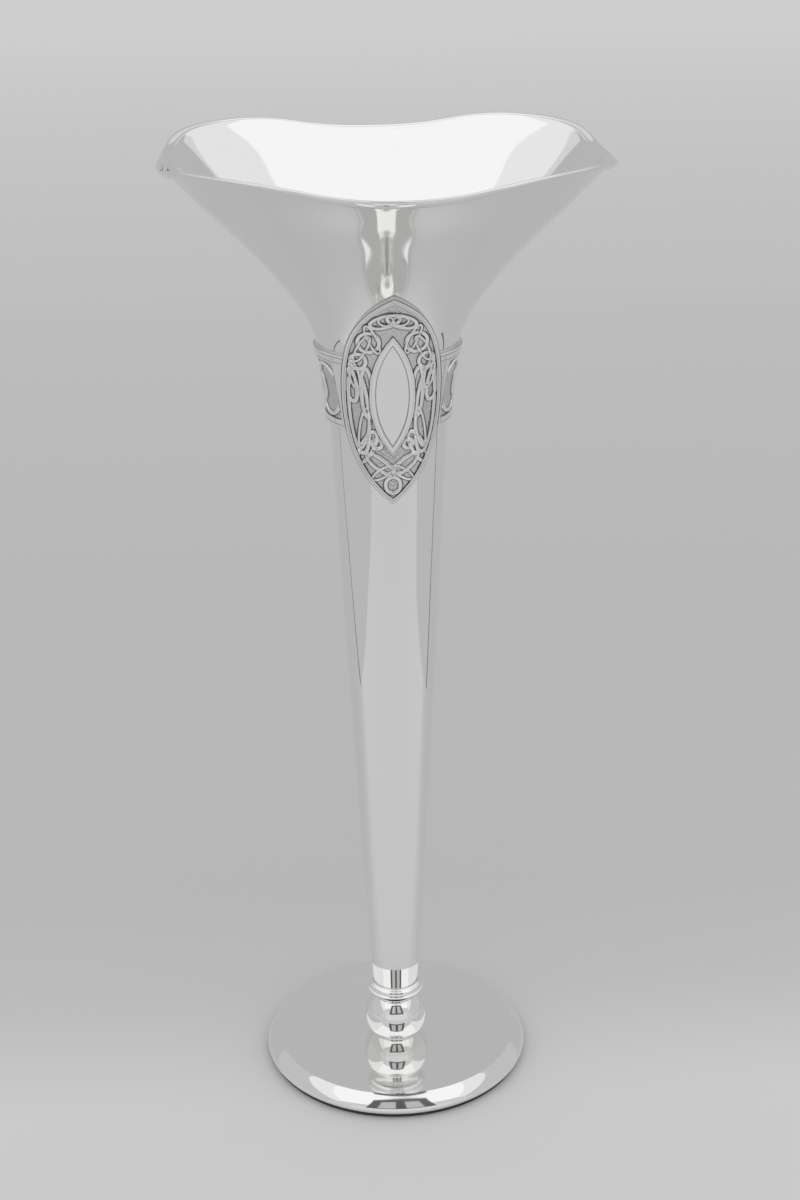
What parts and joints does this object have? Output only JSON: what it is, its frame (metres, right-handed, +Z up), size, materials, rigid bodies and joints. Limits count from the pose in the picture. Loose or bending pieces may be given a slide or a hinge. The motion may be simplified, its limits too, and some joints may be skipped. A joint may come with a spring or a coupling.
{
  "type": "trumpet vase",
  "caption": "Tall slender silver trumpet vase with a waved flaring lip, an interlaced oval plaque and band, a ball knop and a low round loaded foot.",
  "frame": {"origin": "bottom centre of the foot, on the surface the vase stands on", "axes": "+Z up the axis of the stem, front of the vase towards -Y"},
  "size_m": [0.1324, 0.1324, 0.3047],
  "materials": {
    "silver": "polished",
    "cast_silver": "satin",
    "felt": "matte",
    "pitch": "matte",
    "steel": "plain"
  },
  "bodies": {
    "root": {"base_pad": "felt", "foot_shell": "silver", "foot_filling": "pitch", "washer": "steel", "nut": "steel", "stud": "steel", "knop_lower": "silver", "knop_upper": "silver", "collar": "silver", "stem_tube": "silver", "stem_floor": "silver", "bowl": "silver", "rim_wire": "silver", "front_plaque": "cast_silver", "back_plaque": "cast_silver", "band_left": "cast_silver", "band_right": "cast_silver"}
  },
  "joints": []
}
